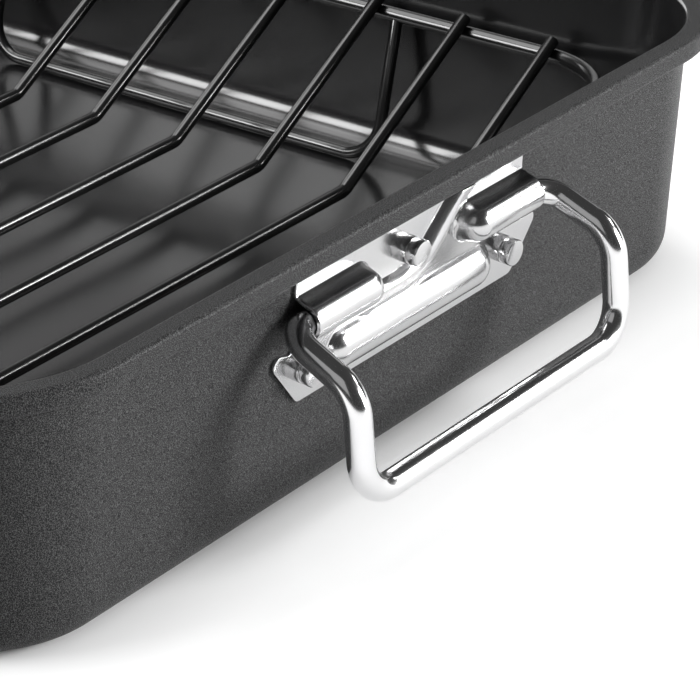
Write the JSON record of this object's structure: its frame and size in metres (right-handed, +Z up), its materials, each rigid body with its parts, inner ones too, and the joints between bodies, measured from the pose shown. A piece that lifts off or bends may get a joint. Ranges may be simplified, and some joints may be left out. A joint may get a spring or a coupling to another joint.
{
  "type": "roasting pan with rack",
  "caption": "Non-stick roasting pan with a rolled rim, swinging wire handles in riveted brackets at both ends, and a lift-out V-shaped wire rack on wire feet.",
  "frame": {"origin": "middle of the pan's flat underside", "axes": "+Z up, X along the pan from handle to handle with the front handle at +X, Y across the pan"},
  "size_m": [0.4334, 0.31, 0.0707],
  "materials": {
    "pan_coating": "satin",
    "bright_steel": "polished",
    "rack_coating": "gloss"
  },
  "bodies": {
    "pan": {"pan_shell": "pan_coating", "front_handle_bracket": "bright_steel", "rear_handle_bracket": "bright_steel", "front_upper_rivet": "bright_steel", "front_left_rivet": "bright_steel", "front_right_rivet": "bright_steel", "rear_upper_rivet": "bright_steel", "rear_left_rivet": "bright_steel", "rear_right_rivet": "bright_steel"},
    "front_handle": {"front_bail_handle": "bright_steel"},
    "rear_handle": {"rear_bail_handle": "bright_steel"},
    "rack": {"rack_rail": "rack_coating", "rack_cross_wire_01": "rack_coating", "rack_cross_wire_02": "rack_coating", "rack_cross_wire_03": "rack_coating", "rack_cross_wire_04": "rack_coating", "rack_cross_wire_05": "rack_coating", "rack_cross_wire_06": "rack_coating", "rack_cross_wire_07": "rack_coating", "rack_cross_wire_08": "rack_coating", "rack_cross_wire_09": "rack_coating", "rack_cross_wire_10": "rack_coating", "rack_left_foot": "rack_coating", "rack_right_foot": "rack_coating"}
  },
  "joints": [
    {"name": "front_handle_swing", "type": "hinge", "parent": "pan", "child": "front_handle", "pos_m": [0.19117, 0, 0.05237], "axis": [0, -1, 0], "range_deg": [-35, 80]},
    {"name": "rear_handle_swing", "type": "hinge", "parent": "pan", "child": "rear_handle", "pos_m": [-0.19117, 0, 0.05237], "axis": [0, 1, 0], "range_deg": [-35, 80]},
    {"name": "rack_lift", "type": "slide", "parent": "pan", "child": "rack", "axis": [0, 0, 1], "range_m": [0, 0.08]}
  ]
}
